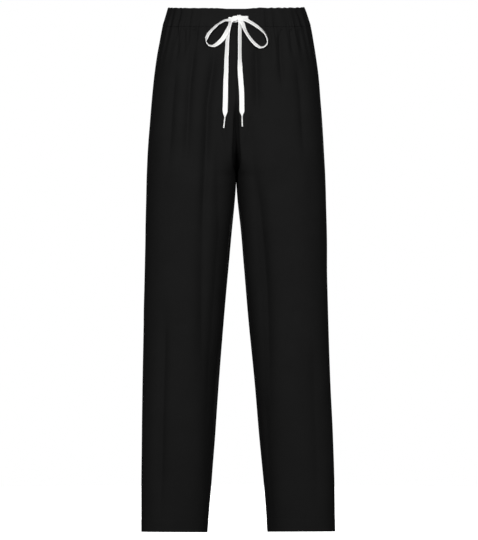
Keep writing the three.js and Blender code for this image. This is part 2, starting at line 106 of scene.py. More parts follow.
# Depth before and behind the side seams, where along the half width the crest lies,
# the depth left at the centre seam, and how square the rounding is on each side of the crest
SHAPE = table(
    ("z", "front", "back", "front_crest", "back_crest", "front_seam", "back_seam", "outer_power",
     "inner_power"),
    [
        (0.018, 0.082, 0.088, 0.25, 0.25, 0.082, 0.088, 2.3, 2),
        (-0.018, 0.087, 0.095, 0.26, 0.27, 0.087, 0.095, 2.3, 2),
        (-0.06, 0.095, 0.109, 0.29, 0.34, 0.0948, 0.1085, 2.35, 2),
        (-0.11, 0.102, 0.124, 0.35, 0.43, 0.1014, 0.1225, 2.4, 2),
        (-0.16, 0.106, 0.134, 0.42, 0.49, 0.1045, 0.13, 2.45, 2.1),
        (-0.205, 0.1075, 0.137, 0.47, 0.52, 0.1025, 0.127, 2.5, 2.3),
        (-0.235, 0.1075, 0.1355, 0.5, 0.53, 0.096, 0.117, 2.5, 2.6),
        (-0.262, 0.107, 0.131, 0.52, 0.53, 0.082, 0.095, 2.5, 2.8),
        (-0.285, 0.106, 0.126, 0.53, 0.53, 0.058, 0.066, 2.5, 2.9),
        (-0.303, 0.105, 0.122, 0.53, 0.53, 0.027, 0.034, 2.5, 2.9),
        (-0.317, 0.104, 0.119, 0.53, 0.53, -INSEAM_Y, INSEAM_Y, 2.5, 2.9),
        (-0.36, 0.1015, 0.11, 0.53, 0.53, -INSEAM_Y, INSEAM_Y, 2.5, 2.7),
        (-0.42, 0.097, 0.1, 0.52, 0.52, -INSEAM_Y, INSEAM_Y, 2.45, 2.5),
        (-0.51, 0.088, 0.087, 0.51, 0.51, -INSEAM_Y, INSEAM_Y, 2.4, 2.3),
        (-0.6, 0.08, 0.077, 0.5, 0.5, -INSEAM_Y, INSEAM_Y, 2.35, 2.25),
        (-0.77, 0.068, 0.064, 0.5, 0.5, -INSEAM_Y, INSEAM_Y, 2.3, 2.2),
        (-0.9, 0.059, 0.057, 0.5, 0.5, -INSEAM_Y, INSEAM_Y, 2.3, 2.2),
        (-1.012, 0.052, 0.053, 0.5, 0.5, -INSEAM_Y, INSEAM_Y, 2.3, 2.2),
    ],
)

# Height of the gathers under the elastic, on the band and fading down the cloth
GATHER_HEIGHT = table(("z", "height"), [
    (0.018, 0.0005),
    (0, 0.0007),
    (-0.018, 0.0011),
    (-0.034, 0.0014),
    (-0.06, 0.0009),
    (-0.09, 0.00035),
    (-0.125, 0),
])

# Gathers along a half front or half back: how many, the share of the way where they start, and the
# phase of their unevenness
GATHERS = {
    FRONT: {"waves": 7.5, "start": 0.24, "phase": 0.35},
    BACK: {"waves": 9.5, "start": 0.05, "phase": 1.1},
}
UNEVEN_SPACING = 0.018
UNEVEN_HEIGHT = 0.3

# Long soft folds of each panel, in millimetres: z and x at the top, the middle and the end, then depth
# and width. A negative depth is a trough. The x values are distances from the centre line.
FOLDS = in_metres({
    (RIGHT, FRONT): [
        (-22, 37, -180, 55, -440, 63, -3.2, 10),
        (-30, 81, -130, 91, -320, 99, -2.6, 11),
        (-330, 58, -560, 66, -800, 72, -2.8, 17),
        (-120, 128, -300, 138, -520, 140, -1.8, 15),
    ],
    (LEFT, FRONT): [
        (-40, 38, -120, 39, -220, 42, -2.2, 10),
        (-18, 86, -80, 87, -160, 92, -2.6, 10),
        (-300, 36, -480, 52, -720, 66, -2.6, 16),
        (-110, 126, -300, 146, -560, 152, -1.8, 15),
    ],
    (RIGHT, BACK): [
        (-24, 48, -150, 60, -330, 66, -2.6, 12),
        (-20, 96, -90, 104, -210, 112, -2.4, 12),
        (-300, 76, -480, 84, -760, 96, -3, 18),
    ],
    (LEFT, BACK): [
        (-20, 58, -110, 68, -280, 74, -2.6, 12),
        (-28, 104, -110, 112, -230, 118, -2.2, 12),
        (-310, 68, -500, 80, -780, 92, -3, 18),
    ],
})

# Finer creases that lie only on the cloth shell, in the same columns: the sharp cores of the long
# folds, the short tucks under the waist seam, and the slack at the seat and the knees
CREASES = in_metres({
    (RIGHT, FRONT): [
        (-40, 37.5, -180, 55.5, -460, 63.5, -8.5, 8),
        (-290, 61, -500, 63, -760, 64, -5.6, 14),
        (-42, 81.2, -130, 91.2, -340, 98.5, -8, 8),
        (-150, 40, -420, 29, -960, 64, -7.6, 20),
        (-14, 91.5, -30, 92.5, -62, 95.5, -3.6, 3.4),
        (-18, 83.5, -24, 83, -42, 81.5, -2.7, 2.6),
        (-18, 79, -28, 78, -50, 76, -2.7, 2.6),
        (-16, 113.5, -45, 114, -98, 119, -4.2, 4.2),
        (-16, 102, -52, 101, -88, 103.5, -3.9, 3.8),
        (-90, 118, -170, 126, -330, 133, -5.2, 9),
        (-590, 105, -620, 115, -680, 128, -2, 12),
        (-560, 138, -760, 145, -1060, 151, -8, 10.5),
        (-600, 33, -800, 42, -1120, 60, -4.8, 18),
        (-180, 30, -240, 20, -290, 12, -3.8, 7),
    ],
    (LEFT, FRONT): [
        (-44, 38.2, -120, 39.2, -215, 41.5, -8, 7.4),
        (-280, 34, -500, 52, -860, 70, -5.4, 15),
        (-18, 86.2, -80, 87.2, -165, 91.5, -5.8, 5.8),
        (-150, 30, -400, 32, -900, 64, -6.5, 19),
        (-18, 58.8, -26, 59, -60, 60.5, -3.3, 3.2),
        (-18, 88.5, -26, 89, -46, 92, -2.7, 2.8),
        (-16, 106, -36, 107.5, -84, 112, -3.9, 4),
        (-16, 124, -34, 126.5, -76, 131, -3.6, 4.2),
        (-18, 70, -34, 70.5, -95, 71.5, -2.7, 3.4),
        (-80, 118, -160, 127, -310, 134, -5, 9),
        (-560, 118, -600, 108, -670, 100, -2, 12),
        (-600, 150, -800, 156, -1060, 162, -3, 13),
        (-720, 48, -880, 59, -1120, 74, -6, 15),
        (-190, 32, -250, 21, -292, 12, -3.8, 7),
    ],
    (RIGHT, BACK): [
        (-18, 22, -40, 23, -88, 26, -3.3, 3.6),
        (-18, 70, -46, 73, -110, 79, -3.6, 4.4),
        (-18, 115, -40, 118, -92, 124, -3.3, 4.2),
        (-60, 48, -180, 60, -360, 66, -4.9, 7),
        (-230, 100, -290, 70, -330, 40, -6.1, 9),
        (-270, 118, -320, 82, -360, 52, -4.9, 9),
        (-560, 70, -590, 95, -640, 130, -6.8, 11),
        (-610, 62, -640, 90, -690, 124, -5.3, 11),
        (-660, 90, -800, 100, -1060, 108, -5.7, 14),
    ],
    (LEFT, BACK): [
        (-18, 30, -44, 31.5, -96, 35, -3.3, 3.8),
        (-18, 82, -42, 84.5, -104, 90, -3.6, 4.2),
        (-18, 123, -38, 126, -88, 132, -3, 4),
        (-50, 58, -140, 68, -300, 74, -4.9, 7),
        (-222, 96, -280, 68, -325, 38, -6.1, 9),
        (-276, 114, -322, 80, -352, 54, -4.6, 9),
        (-570, 76, -605, 100, -660, 132, -6.5, 11),
        (-630, 68, -660, 94, -700, 122, -4.9, 11),
        (-680, 96, -820, 106, -1060, 112, -5.3, 14),
    ],
})
FOLD_ROUNDNESS = 2.0
CREASE_ROUNDNESS = 1.4

# Depth and half width of the hollow above the fork
VALLEY = {FRONT: (0.013, 0.0038), BACK: (0.006, 0.011)}

# The small tucks at the waist seam: their heights by level, and how many along a half front
TUCK_LEVELS = (-0.085, -0.050, BAND_FOOT, -0.006, BAND_TOP)
TUCK_HEIGHTS = (0, 0.0005, 0.0012, 0.0002, 0.0001)
TUCK_WAVES = 19.5

# How much higher the gathers stand on the waistband than on the solid, how high they push its top
# edge on each side of the front, and how far the edge dips between them behind
BAND_GATHER = 1.25
EDGE_RISE = {RIGHT: 0.0008, LEFT: 0.0016}
EDGE_DIP = 0.0009
EDGE_WAVES = 9.5

# Creases of each quarter of the waistband, in millimetres: x at the top, middle and foot, then
# depth and width
BAND_CREASES = in_metres({
    (RIGHT, FRONT): [
        (87, 90, 92, -2.2, 3),
        (108, 111, 116, -2, 3.6),
        (124, 126, 129, -1.4, 3),
    ],
    (LEFT, FRONT): [
        (57.5, 58.2, 58.8, -2.2, 2.8),
        (74.5, 76.5, 78, -1.4, 4),
        (116, 124, 128.5, -2.4, 3.6),
    ],
    (RIGHT, BACK): [
        (30, 31, 33, -1.4, 3),
        (64, 66, 69, -1.8, 3.4),
        (86, 87, 88, -1.2, 2.8),
        (102, 103, 106, -1.6, 3.2),
    ],
    (LEFT, BACK): [
        (16, 17, 19, -1.2, 3),
        (50, 51, 54, -1.8, 3.4),
        (73, 74, 76, -1.2, 2.8),
        (91, 93, 96, -1.6, 3.2),
    ],
})

# Routes of the lace as it lies on the front: x and z, and how far its middle stands off the cloth,
# in millimetres, then how far it is turned on edge, in degrees
RIGHT_EXIT = [
    (-14.3, -11.2, -2, 0),
    (-14.3, -11.2, -0.7, 0),
    (-14, -11.2, 0.55, 0),
    (-12.9, -11.3, 1.4, 0),
    (-10.6, -11.8, 1.3, 0),
    (-5, -12.1, 1.3, 0),
    (1, -11.7, 2.4, 0),
]
LEFT_EXIT = [
    (22.7, -9.4, -2, 0),
    (22.7, -9.4, -0.7, 0),
    (22.4, -9.4, 0.55, 0),
    (21.3, -9.4, 1.4, 0),
    (19, -9.4, 1.3, 0),
    (13, -9.2, 1.2, 0),
]
RIGHT_LOOP = [
    (1.2, -9.6, 6.6, 0),
    (-6.5, -11, 6.7, 24),
    (-13.4, -12.5, 6.6, 44),
    (-21.5, -13.3, 6.2, 60),
    (-33.3, -19.7, 5.6, 64),
    (-44.1, -28.8, 5.2, 58),
    (-52.7, -38.4, 5, 44),
    (-57, -47, 4.9, 48),
    (-57.4, -56, 4.9, 96),
    (-52, -62.2, 4.9, 114),
    (-44.3, -63.2, 4.7, 126),
    (-35.1, -58, 4.5, 150),
    (-24.6, -47.3, 4.4, 166),
    (-17.8, -34.5, 4.8, 146),
    (-12.4, -22.6, 5, 128),
    (-9.6, -15, 5, 126),
    (0, -9.6, 4.6, 150),
]
LEFT_LOOP = [
    (5, -8, 6.5, 0),
    (11.5, -10, 6.6, -20),
    (19, -12.2, 6.6, -34),
    (26.2, -16, 6.2, -42),
    (37.2, -22.8, 5.6, -46),
    (48.4, -31.5, 5.2, -56),
    (56.8, -41.5, 5, -68),
    (60.4, -51.2, 4.9, -74),
    (58.8, -60.4, 4.9, -106),
    (52.8, -65.6, 4.9, -114),
    (46.8, -66.2, 4.7, -120),
    (38.8, -61.5, 4.5, -132),
    (30.1, -52.5, 4.4, -132),
    (20.9, -39.3, 4.6, -129),
    (15.6, -28.6, 4.8, -134),
    (12.4, -19.4, 4.8, -146),
    (5, -10, 4.6, -170),
]
RIGHT_TAIL = [
    (-3, -9, 3, 0),
    (-9.8, -14, 3.1, 34),
    (-12.1, -20.5, 3.4, 50),
    (-13.7, -28.5, 3.6, 54),
    (-15.7, -39, 3.7, 50),
    (-17, -52, 3.6, 46),
    (-18, -70.6, 3, 42),
    (-19, -91, 2.6, 34),
    (-19.4, -110.5, 2.2, 28),
    (-20.2, -130, 1.8, 20),
    (-20.5, -149, 1.3, 8),
    (-20.8, -168.7, 1.1, 0),
    (-21.4, -188, 1.2, 0),
    (-21.8, -203.2, 1.8, 0),
]
LEFT_TAIL = [
    (5.2, -9, 3, 0),
    (7.8, -17, 3.2, -40),
    (7.2, -32.4, 3.6, -48),
    (7.1, -51.7, 3.7, -48),
    (7.1, -71.8, 3.7, -48),
    (7.2, -90, 3.2, -44),
    (7.6, -108, 1.6, -14),
    (8.9, -129.9, 1.1, 0),
    (10.3, -149.3, 1.1, 0),
    (10.9, -168.7, 1.1, 0),
    (11.1, -188, 1.2, 0),
    (11.6, -201.4, 1.8, 0),
]
RIGHT_TIP = {"top": (-0.0219, -0.2036), "end": (-0.0242, -0.2226)}
LEFT_TIP = {"top": (0.0116, -0.2018), "end": (0.0119, -0.2204)}
TIP_RADIUS = 0.00125

# The turn of lace that binds the knot: its middle, and its half height, half depth and slant
KNOT_X = 0.0074
KNOT_Z = -0.0100
KNOT_LIFT = 0.0047
KNOT_HALF_HEIGHT = 0.0066
KNOT_HALF_DEPTH = 0.0038
KNOT_SLANT = 0.0022
KNOT_WIDTH = 0.0092

CAMERA_PLACE = (0.0055, -7.0, -0.4981)
CAMERA_LENS = 237.19
CAMERA_SENSOR = 36


def add_object(name, data):
    """A new object in the scene."""
    item = bpy.data.objects.new(name, data)
    bpy.context.scene.collection.objects.link(item)
    return item


def make_camera():
    """The camera stands level in front, at the photo's angle."""
    data = bpy.data.cameras.new("camera")
    data.sensor_width = CAMERA_SENSOR
    data.lens = CAMERA_LENS
    camera = add_object("camera", data)
    camera.location = CAMERA_PLACE
    camera.rotation_euler = (math.pi / 2, 0, 0)
    bpy.context.scene.camera = camera


make_camera()


# The shape of the cloth

def smooth(start, end, value):
    """0 before start, 1 past end, and a soft step between."""
    t = np.clip((value - start) / (end - start), 0, 1)
    return t * t * (3 - 2 * t)


def within(start, full, fading, end, value):
    """1 from full to fading, falling softly to 0 at start and end."""
    return smooth(start, full, value) * (1 - smooth(fading, end, value))


def through(columns, name):
    """A smooth curve through one column of a table, with no swing past its values."""
    order = np.argsort(columns["z"])
    zs = columns["z"][order]
    values = columns[name][order]
    rises = np.diff(values) / np.diff(zs)
    before = np.concatenate([rises[:1], rises])
    after = np.concatenate([rises, rises[-1:]])
    turns = before * after <= 0
    slopes = np.where(turns, 0, 2 * before * after / np.where(turns, 1, before + after))

    def curve(z):
        held = np.clip(z, zs[0], zs[-1])
        i = np.clip(np.searchsorted(zs, held) - 1, 0, len(zs) - 2)
        span = zs[i + 1] - zs[i]
        t = (held - zs[i]) / span
        rise = values[i + 1] - values[i]
        bend = span * (slopes[i] * (1 - t) - slopes[i + 1] * t) - rise * (1 - 2 * t)
        return values[i] + rise * t + t * (1 - t) * bend

    return curve


outer_x = {LEFT: through(OUTLINE, "left_out"), RIGHT: through(OUTLINE, "right_out")}
inner_x = {LEFT: through(OUTLINE, "left_in"), RIGHT: through(OUTLINE, "right_in")}
crest_depth = {FRONT: through(SHAPE, "front"), BACK: through(SHAPE, "back")}
crest_part = {FRONT: through(SHAPE, "front_crest"), BACK: through(SHAPE, "back_crest")}
seam_depth = {FRONT: through(SHAPE, "front_seam"), BACK: through(SHAPE, "back_seam")}
outer_power = through(SHAPE, "outer_power")
inner_power = through(SHAPE, "inner_power")
gather_height = through(GATHER_HEIGHT, "height")


def lean(z, y):
    """The waist dips in front and rises behind, and the hem is a little higher in front."""
    waist = smooth(DIP_END_Z, DIP_FULL_Z, z) * np.where(y < 0, FRONT_DIP, BACK_RISE)
    hem = (1 - smooth(HEM_Z, HEM_SLOPE_START_Z, z)) * HEM_SLOPE
    return z + (waist - hem) * y


def gather_at(face, share, z):
    """The wavy gathers, at a share of the way from the centre seam to the side seam."""
    gathers = GATHERS[face]
    along = np.clip((share - gathers["start"]) / (1 - gathers["start"]), 0, 1)
    uneven = along + UNEVEN_SPACING * np.sin(9 * along + gathers["phase"])
    size = 1 - UNEVEN_HEIGHT + UNEVEN_HEIGHT * np.sin(13 * along + 2 * gathers["phase"])
    ends = within(0, 0.14, 0.93, 1, along)
    return gather_height(z) * size * ends * np.sin(2 * math.pi * gathers["waves"] * uneven)


def fold_at(folds, side, face, x, z, roundness=FOLD_ROUNDNESS):
    """The sum of the folds of a table at points of one panel. Less roundness makes a sharper crease."""
    total = np.zeros(np.broadcast(x, z).shape)
    for top_z, top_x, mid_z, mid_x, end_z, end_x, depth, width in folds[side, face]:
        down = (top_z - z) / (top_z - end_z)
        bend = (top_z - mid_z) / (top_z - end_z)
        via_mid = (mid_x - top_x) * np.clip(down / bend, 0, 1)
        past_mid = (end_x - mid_x) * np.clip((down - bend) / (1 - bend), 0, None)
        off = (x - top_x - via_mid - past_mid) / width
        total = total + depth * np.exp(-np.abs(off) ** roundness) * within(0, 0.2, 0.55, 1, down)
    return total


def section(side, face, z, share):
    """Points a share of the way round a half section of the cloth, with their outward direction."""
    start = inner_x[side](z)
    end = outer_x[side](z)
    deep = crest_depth[face](z)
    low = seam_depth[face](z)
    crest = start + crest_part[face](z) * (end - start)
    angle = np.linspace(0, math.pi / 2, 300)
    s = np.sin(angle)
    c = np.clip(np.cos(angle), 0, None)
    in_power = 2 / inner_power(z)
    out_power = 2 / outer_power(z)
    line_x = np.concatenate([crest - (crest - start) * c ** in_power,
                             crest + (end - crest) * s[1:] ** out_power])
    line_d = np.concatenate([low + (deep - low) * s ** in_power, deep * c[1:] ** out_power])
    steps = np.hypot(np.diff(line_x), np.diff(line_d))
    lengths = np.concatenate([[0], np.cumsum(steps)])
    distance = share * lengths[-1]
    reach = 0.002
    way_x = np.interp(distance + reach, lengths, line_x) - np.interp(distance - reach, lengths, line_x)
    way_d = np.interp(distance + reach, lengths, line_d) - np.interp(distance - reach, lengths, line_d)
    size = np.hypot(way_x, way_d)
    x = np.interp(distance, lengths, line_x)
    depth = np.interp(distance, lengths, line_d)
    out = np.stack([-way_d / size, way_x / size], axis=1)
    forked = smooth(FORK_Z, FORK_Z - 0.008, z)
    at_start = np.exp(-(distance / 0.003) ** 2)[:, None]
    at_end = np.exp(-((lengths[-1] - distance) / 0.003) ** 2)[:, None]
    out = out * (1 - at_start) + unit(np.array([[-forked, 1 - forked]])) * at_start
    out = unit(out * (1 - at_end) + np.array([[1.0, 0.0]]) * at_end)
    return x, depth, out[:, 0], out[:, 1], lengths[-1]


def front_y(x, z):
    """How far forward the outer face lies at a place on the front, level z being the leaned one."""
    off = np.abs(x)
    level = z
    for _ in range(4):
        out = np.where(x < 0, outer_x[RIGHT](level), outer_x[LEFT](level))
        crest = crest_part[FRONT](level) * out
        low = seam_depth[FRONT](level)
        power = inner_power(level)
        inward = 1 - np.clip(off / crest, 0, 1)
        rise = (1 - inward ** power) ** (1 / power)
        outward = np.clip(off - crest, 0, None) / (out - crest)
        roll = (1 - outward ** outer_power(level)) ** (1 / outer_power(level))
        far = (low + (crest_depth[FRONT](level) - low) * rise) * roll
        on_band = smooth(BAND_FOOT - 0.002, BAND_FOOT + 0.002, level) * BAND_PROUD
        folds = np.where(x < 0, fold_at(FOLDS, RIGHT, FRONT, off, level),
                         fold_at(FOLDS, LEFT, FRONT, off, level))
        y = -(far + folds + on_band)
        level = level + z - lean(level, y)
    return y


def front_facing(x, z):
    """Which way the front faces at a place, from its slopes across and down."""
    across = front_y(x + 0.001, z) - front_y(x - 0.001, z)
    down = front_y(x, z + 0.002) - front_y(x, z - 0.002)
    return unit(np.stack([across / 0.002, -np.ones_like(across), down / 0.004], axis=-1))


def unit(vectors):
    return vectors / np.linalg.norm(vectors, axis=-1, keepdims=True)


# Meshes

def grid_faces(numbers):
    """Quads between the neighbouring point numbers of a grid."""
    corners = (numbers[:-1, :-1], numbers[:-1, 1:], numbers[1:, 1:], numbers[1:, :-1])
    return np.stack(corners, axis=-1).reshape(-1, 4)


def closed_grid(numbers, both_ways=False):
    """Point numbers whose last column meets the first, and if need be the last row the first too."""
    numbers = np.concatenate([numbers, numbers[:, :1]], axis=1)
    return np.concatenate([numbers, numbers[:1]]) if both_ways else numbers


def end_caps(numbers):
    """Quads over the first and the last ring of a tube."""
    half = numbers.shape[1] // 2
    caps = []
    for ring, backwards in ((numbers[0], True), (numbers[-1], False)):
        front = ring[:half + 1]
        rear = np.concatenate([ring[:1], ring[:half - 1:-1]])
        caps.append(grid_faces(np.stack([rear, front] if backwards else [front, rear])))
    return caps


def add_piece(name, points, quads, material, uvs=None, triangles=()):
    """A closed smooth mesh with its faces turned outwards, riding on the frame."""
    a, b, c, d = (points[quads[:, i]] for i in range(4))
    volume = (a * np.cross(b, c)).sum() + (a * np.cross(c, d)).sum()
    faces = quads.tolist() + np.array(triangles, dtype=int).tolist()
    if volume < 0:
        faces = [face[::-1] for face in faces]
    mesh = bpy.data.meshes.new(name)
    mesh.from_pydata(points.tolist(), [], faces)
    if uvs is not None:
        layer = mesh.uv_layers.new(name="cut")
        corners = [corner for face in faces for corner in face]
        layer.data.foreach_set("uv", uvs[corners].astype(np.float32).reshape(-1))
    mesh.shade_smooth()
    mesh.materials.append(material)
    piece = add_object(name, mesh)
    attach(piece, "root")
    return piece


# Materials

class Nodes:
    """A small helper that adds nodes to a material and links them."""

    def __init__(self, name):
        self.material = bpy.data.materials.new(name)
        self.material.use_nodes = True
        self.tree = self.material.node_tree
        self.shader = self.tree.nodes["Principled BSDF"]

    def add(self, kind, settings=None, **inputs):
        node = self.tree.nodes.new(kind)
        for key, value in (settings or {}).items():
            setattr(node, key, value)
        for key, value in inputs.items():
            self.set(node, key.replace("_", " "), value)
        return node

    def set(self, node, key, value):
        socket = node.inputs[int(key[1:])] if key[0] == "i" and key[1:].isdigit() else node.inputs[key]
        if isinstance(value, bpy.types.NodeSocket):
            self.tree.links.new(value, socket)
        else:
            socket.default_value = value

    def shade(self, **inputs):
        for key, value in inputs.items():
            self.set(self.shader, key.replace("_", " "), value)

    def math(self, operation, first, second=0.0):
        node = self.add("ShaderNodeMath", {"operation": operation}, i0=first, i1=second)
        return node.outputs[0]

    def scaled(self, first, scale, rest):
        return self.math("ADD", self.math("MULTIPLY", first, scale), rest)

    def noise(self, scale, detail, roughness=0.5):
        place = self.add("ShaderNodeTexCoord").outputs["Object"]
        return self.add("ShaderNodeTexNoise", Vector=place, Scale=scale, Detail=detail,
                        Roughness=roughness).outputs[0]

    def mix(self, factor, first, second):
        node = self.add("ShaderNodeMix", {"data_type": "RGBA"}, i0=factor, i6=first, i7=second)
        return node.outputs[2]

    def uv(self):
        split = self.add("ShaderNodeSeparateXYZ")
        source = self.add("ShaderNodeUVMap", {"uv_map": "cut"})
        self.tree.links.new(source.outputs["UV"], split.inputs[0])
        return split.outputs[0], split.outputs[1]

    def bump(self, height, distance, strength=1.0):
        node = self.add("ShaderNodeBump", Height=height, Distance=distance, Strength=strength)
        self.set(self.shader, "Normal", node.outputs["Normal"])


THREAD_PITCH = 0.00055
BRAID_PITCH = 0.0019
BRAID_SLANT = 0.9
BRAID_RELIEF = 0.00011
BRAID_RIM = 0.00009


def cloth_material():
    """Matte black crepe: a fine uneven weave, a little mottled, with next to no gloss."""
    nodes = Nodes("black_crepe")
    across, along = nodes.uv()
    warp = nodes.math("SINE", nodes.math("MULTIPLY", across, 2 * math.pi / THREAD_PITCH))
    weft = nodes.math("SINE", nodes.math("MULTIPLY", along, 2 * math.pi / THREAD_PITCH))
    pebble = nodes.noise(1100, 3, 0.6)
    slub = nodes.noise(160, 2)
    mottle = nodes.noise(22, 4, 0.55)
    height = nodes.scaled(nodes.math("MULTIPLY", warp, weft), 0.25, pebble)
    nodes.bump(nodes.scaled(slub, 0.5, height), 0.00012, 0.7)
    dark = (0.0078, 0.0078, 0.0078, 1)
    light = (0.0124, 0.0124, 0.0124, 1)
    tone = nodes.scaled(pebble, 0.5, nodes.math("MULTIPLY", mottle, 0.5))
    nodes.shade(Base_Color=nodes.mix(tone, dark, light), Roughness=nodes.scaled(pebble, 0.1, 0.86),
                IOR=1.25, Specular_IOR_Level=0.05, Sheen_Weight=0.002, Sheen_Roughness=0.5)
    return nodes.material


def lace_material():
    """White flat braid: V-shaped rows of thread with painted shade in the grooves between them, a paler
    rim along each edge as a painted highlight, and matte yarn.
    """
    nodes = Nodes("white_braid")
    across, along = nodes.uv()
    off = nodes.math("ABSOLUTE", across)
    pitches = nodes.math("DIVIDE", along, BRAID_PITCH)
    phase = nodes.math("SUBTRACT", pitches, nodes.math("MULTIPLY", off, BRAID_SLANT))
    wave = nodes.math("SINE", nodes.math("MULTIPLY", phase, 2 * math.pi))
    ridge = nodes.scaled(wave, 0.5, 0.5)
    fine = nodes.math("SINE", nodes.math("MULTIPLY", phase, 8 * math.pi))
    # Painted highlight: this mask makes each edge of the braid paler, where its rounded edge catches the
    # light.
    rim = nodes.add("ShaderNodeMapRange", {"interpolation_type": "SMOOTHSTEP"},
                    Value=off, From_Min=0.55, From_Max=0.8).outputs[0]
    fuzz = nodes.noise(2600, 3, 0.6)
    # Painted shade: the darker colour lies in the grooves between the raised rows of thread, on the same
    # wave as their relief.
    groove_shade_colour = (0.83, 0.83, 0.815, 1)
    yarn = (0.94, 0.94, 0.925, 1)
    # edge: the painted highlight colour of the rims.
    edge = (0.965, 0.965, 0.955, 1)
    tone = nodes.scaled(ridge, 0.8, nodes.math("MULTIPLY", fuzz, 0.2))
    nodes.shade(Base_Color=nodes.mix(rim, nodes.mix(tone, groove_shade_colour, yarn), edge),
                Roughness=nodes.scaled(fuzz, 0.15, 0.75), Specular_IOR_Level=0.3, Sheen_Weight=0.1)
    nodes.bump(nodes.scaled(fine, 0.3, fuzz), 0.00008, 0.8)
    return nodes.material


def tip_material():
    """Satin white plastic film, with fine draw lines and a trace of handling."""
    nodes = Nodes("white_film")
    lines = nodes.noise(900, 2)
    cloud = nodes.noise(140, 3)
    colour = nodes.mix(cloud, (0.82, 0.81, 0.79, 1), (0.90, 0.90, 0.88, 1))
    nodes.shade(Base_Color=colour, Roughness=nodes.scaled(cloud, 0.2, 0.2), IOR=1.49)
    nodes.bump(lines, 0.00003, 0.6)
    return nodes.material


def thread_material():
    """Black sewing thread, twisted, with a faint gloss."""
    nodes = Nodes("black_thread")
    twist = nodes.noise(3000, 2)
    colour = nodes.mix(twist, (0.007, 0.007, 0.0075, 1), (0.013, 0.013, 0.014, 1))
    nodes.shade(Base_Color=colour, Roughness=0.6, Specular_IOR_Level=0.25)
    nodes.bump(twist, 0.00008, 0.8)
    return nodes.material


cloth = cloth_material()
braid = lace_material()
film = tip_material()
thread = thread_material()


# The lace

def distances(points):
    """How far along a line each of its points lies."""
    return np.concatenate([[0], np.cumsum(np.linalg.norm(np.diff(points, axis=0), axis=1))])


def lace_line(route, step):
    """Even steps along a centripetal Catmull-Rom curve through a route: places and turns."""
    x, z, lift, turn = (np.array(route) / (1000, 1000, 1000, 1)).T
    points = np.stack([x, front_y(x, z) - lift, z], axis=1)
    held = np.concatenate([[2 * points[0] - points[1]], points, [2 * points[-1] - points[-2]]])
    knots = np.concatenate([[0], np.cumsum(np.linalg.norm(np.diff(held, axis=0), axis=1) ** 0.5)])
    dense = []
    turns = []
    for i in range(1, len(held) - 2):
        t = np.linspace(knots[i], knots[i + 1], 60, endpoint=False)[:, None]
        t0, t1, t2, t3 = knots[i - 1:i + 3]
        p0, p1, p2, p3 = held[i - 1:i + 3]
        a1 = (t1 - t) / (t1 - t0) * p0 + (t - t0) / (t1 - t0) * p1
        a2 = (t2 - t) / (t2 - t1) * p1 + (t - t1) / (t2 - t1) * p2
        a3 = (t3 - t) / (t3 - t2) * p2 + (t - t2) / (t3 - t2) * p3
        b1 = (t2 - t) / (t2 - t0) * a1 + (t - t0) / (t2 - t0) * a2
        b2 = (t3 - t) / (t3 - t1) * a2 + (t - t1) / (t3 - t1) * a3
        dense.append((t2 - t) / (t2 - t1) * b1 + (t - t1) / (t2 - t1) * b2)
        turns.append(turn[i - 1] + (turn[i] - turn[i - 1]) * ((t - t1) / (t2 - t1))[:, 0])
    dense = np.concatenate(dense + [points[-1:]])
    turns = np.concatenate(turns + [turn[-1:]])
    lengths = distances(dense)
    even = np.linspace(0, lengths[-1], int(round(lengths[-1] / step)) + 1)
    places = np.stack([np.interp(even, lengths, dense[:, i]) for i in range(3)], axis=1)
    return places, np.interp(even, lengths, turns), even


def squared(normals, tangents):
    """Normals brought square to the tangents."""
    return unit(normals - tangents * (normals * tangents).sum(axis=1, keepdims=True))


def turned(vectors, axes, degrees):
    """Vectors turned about unit axes."""
    angle = np.radians(degrees)[:, None]
    dot = (vectors * axes).sum(axis=1, keepdims=True)
    return (vectors * np.cos(angle) + np.cross(axes, vectors) * np.sin(angle)
            + axes * dot * (1 - np.cos(angle)))


LACE_STEP = 0.0005
SECTION_SIDE = np.sin(np.linspace(-math.pi / 2, math.pi / 2, 13))


def lace_section():
    """Across and thickness of the flat braid, in shares of half its width and half its thickness."""
    off = np.abs(SECTION_SIDE)
    rim = 0.74 + 0.26 * smooth(0.45, 0.8, off)
    high = rim * np.clip(1 - off ** 6, 0, None) ** 0.5
    across = np.concatenate([SECTION_SIDE, SECTION_SIDE[-2:0:-1]])
    thick = np.concatenate([high, -high[-2:0:-1]])
    return across, thick


def lace_piece(name, places, normals, along, widths, thicks, closed=False):
    """A flat braid along ring centres, with V-shaped rows of thread raised on both faces."""
    across, thick = lace_section()
    if closed:
        tangents = unit(np.roll(places, -1, axis=0) - np.roll(places, 1, axis=0))
    else:
        tangents = unit(np.gradient(places, axis=0))
    normals = squared(normals, tangents)
    sides = np.cross(tangents, normals)
    off = np.abs(across)[None, :]
    pitches = along[:, None] / BRAID_PITCH
    rows = np.sin(2 * math.pi * (pitches - BRAID_SLANT * off))
    relief = BRAID_RELIEF * rows * (1 - smooth(0.85, 1, off)) * np.sign(thick)[None, :]
    rim = BRAID_RIM * np.sin(2 * math.pi * pitches) * smooth(0.8, 1, off)
    reach = across[None, :] * widths[:, None] / 2 + np.sign(across)[None, :] * rim
    height = thick[None, :] * thicks[:, None] / 2 + relief
    points = (places[:, None, :] + sides[:, None, :] * reach[..., None]
              + normals[:, None, :] * height[..., None])
    rings, count = points.shape[:2]
    numbers = np.arange(rings * count).reshape(rings, count)
    faces = [grid_faces(closed_grid(numbers, closed))] + ([] if closed else end_caps(numbers))
    uvs = np.stack(np.broadcast_arrays(across[None, :], along[:, None]), axis=-1).reshape(-1, 2)
    return add_piece(name, points.reshape(-1, 3), np.concatenate(faces), braid, uvs)


